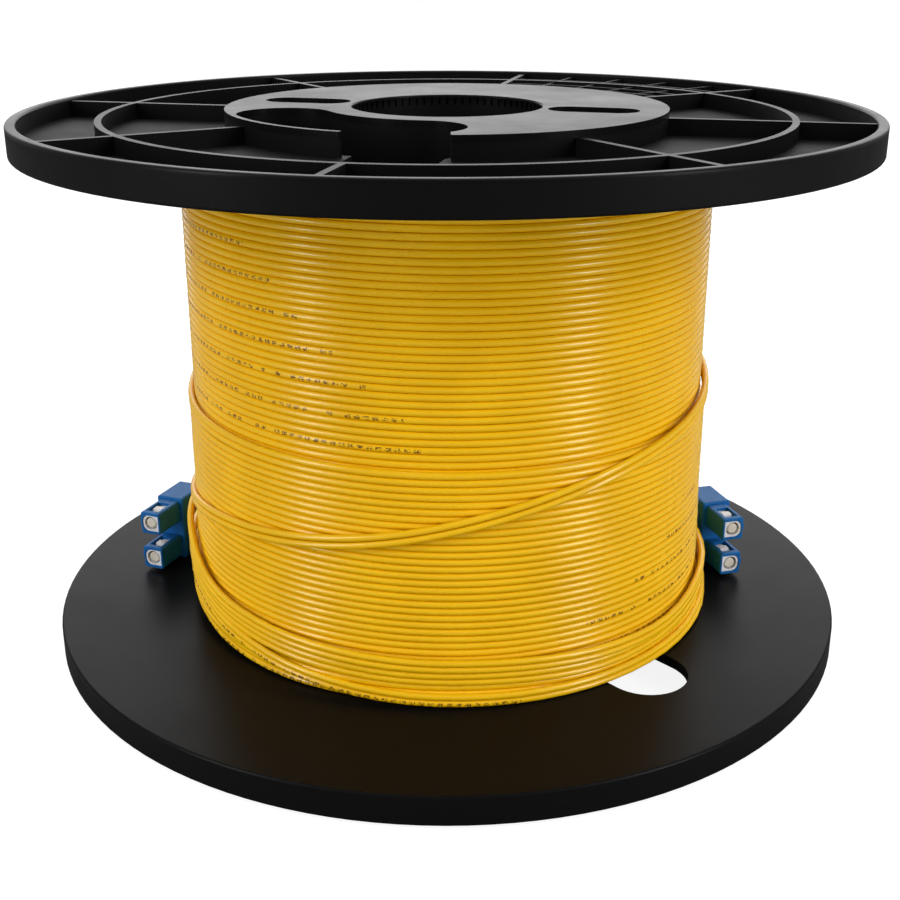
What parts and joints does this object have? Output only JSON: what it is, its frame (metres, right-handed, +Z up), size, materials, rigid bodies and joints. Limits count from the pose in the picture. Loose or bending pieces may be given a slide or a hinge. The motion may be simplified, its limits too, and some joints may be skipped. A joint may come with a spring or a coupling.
{
  "type": "fibre cable reel",
  "caption": "Black moulded reel with ribbed flanges, wound with yellow duplex optical-fibre cable ending in blue duplex push-pull plugs.",
  "frame": {"origin": "on the lower hub face that the reel stands on, at the spindle axis", "axes": "+Z up the spindle, from the lower flange to the upper; the plugs point out of the front, -Y; +X to the right seen from the front"},
  "size_m": [0.254, 0.254, 0.166],
  "materials": {
    "reel_black": "satin moulded black plastic with a fine grain",
    "jacket_yellow": "smooth satin cable jacket",
    "shell_blue": "smooth moulded blue plastic",
    "boot_blue": "soft matt blue moulding",
    "frame_white": "white moulded plastic",
    "cap_natural": "natural translucent plastic",
    "ferrule_ceramic": "polished white ceramic",
    "spring_steel": "bright spring wire",
    "collar_metal": "nickel-plated turned metal"
  },
  "bodies": {
    "reel": {"upper_flange": "reel_black", "lower_flange": "reel_black", "winding_barrel": "reel_black", "spindle_tube": "reel_black", "cable_winding": "jacket_yellow", "left_lower_frame": "frame_white", "left_lower_spring": "spring_steel", "left_lower_rear_body": "collar_metal", "left_lower_crimp_ring": "collar_metal", "left_lower_boot": "boot_blue", "left_lower_strand": "jacket_yellow", "left_upper_frame": "frame_white", "left_upper_spring": "spring_steel", "left_upper_rear_body": "collar_metal", "left_upper_crimp_ring": "collar_metal", "left_upper_boot": "boot_blue", "left_upper_strand": "jacket_yellow", "right_lower_frame": "frame_white", "right_lower_spring": "spring_steel", "right_lower_rear_body": "collar_metal", "right_lower_crimp_ring": "collar_metal", "right_lower_boot": "boot_blue", "right_lower_strand": "jacket_yellow", "right_upper_frame": "frame_white", "right_upper_spring": "spring_steel", "right_upper_rear_body": "collar_metal", "right_upper_crimp_ring": "collar_metal", "right_upper_boot": "boot_blue", "right_upper_strand": "jacket_yellow"},
    "left_grip": {"left_lower_shell": "shell_blue", "left_upper_shell": "shell_blue", "left_duplex_clip": "shell_blue"},
    "left_lower_ferrule_set": {"left_lower_ferrule": "ferrule_ceramic", "left_lower_ferrule_holder": "collar_metal"},
    "left_lower_cap": {"left_lower_dust_cap": "cap_natural"},
    "left_upper_ferrule_set": {"left_upper_ferrule": "ferrule_ceramic", "left_upper_ferrule_holder": "collar_metal"},
    "left_upper_cap": {"left_upper_dust_cap": "cap_natural"},
    "right_grip": {"right_lower_shell": "shell_blue", "right_upper_shell": "shell_blue", "right_duplex_clip": "shell_blue"},
    "right_lower_ferrule_set": {"right_lower_ferrule": "ferrule_ceramic", "right_lower_ferrule_holder": "collar_metal"},
    "right_lower_cap": {"right_lower_dust_cap": "cap_natural"},
    "right_upper_ferrule_set": {"right_upper_ferrule": "ferrule_ceramic", "right_upper_ferrule_holder": "collar_metal"},
    "right_upper_cap": {"right_upper_dust_cap": "cap_natural"}
  },
  "joints": [
    {"name": "left_grip_slide", "type": "slide", "parent": "reel", "child": "left_grip", "axis": [0.3616, 0.9323, 0], "range_m": [0, 0.0015]},
    {"name": "left_lower_ferrule_float", "type": "slide", "parent": "reel", "child": "left_lower_ferrule_set", "axis": [0.3616, 0.9323, 0], "range_m": [0, 0.0008], "stiffness_N_per_m": 1500, "deforming": ["left_lower_spring"]},
    {"name": "left_lower_cap_pull", "type": "slide", "parent": "reel", "child": "left_lower_cap", "axis": [-0.3616, -0.9323, 0], "range_m": [0, 0.015]},
    {"name": "left_upper_ferrule_float", "type": "slide", "parent": "reel", "child": "left_upper_ferrule_set", "axis": [0.3616, 0.9323, 0], "range_m": [0, 0.0008], "stiffness_N_per_m": 1500, "deforming": ["left_upper_spring"]},
    {"name": "left_upper_cap_pull", "type": "slide", "parent": "reel", "child": "left_upper_cap", "axis": [-0.3616, -0.9323, 0], "range_m": [0, 0.015]},
    {"name": "right_grip_slide", "type": "slide", "parent": "reel", "child": "right_grip", "axis": [-0.2807, 0.9598, 0], "range_m": [0, 0.0015]},
    {"name": "right_lower_ferrule_float", "type": "slide", "parent": "reel", "child": "right_lower_ferrule_set", "axis": [-0.2807, 0.9598, 0], "range_m": [0, 0.0008], "stiffness_N_per_m": 1500, "deforming": ["right_lower_spring"]},
    {"name": "right_lower_cap_pull", "type": "slide", "parent": "reel", "child": "right_lower_cap", "axis": [0.2807, -0.9598, 0], "range_m": [0, 0.015]},
    {"name": "right_upper_ferrule_float", "type": "slide", "parent": "reel", "child": "right_upper_ferrule_set", "axis": [-0.2807, 0.9598, 0], "range_m": [0, 0.0008], "stiffness_N_per_m": 1500, "deforming": ["right_upper_spring"]},
    {"name": "right_upper_cap_pull", "type": "slide", "parent": "reel", "child": "right_upper_cap", "axis": [0.2807, -0.9598, 0], "range_m": [0, 0.015]}
  ]
}
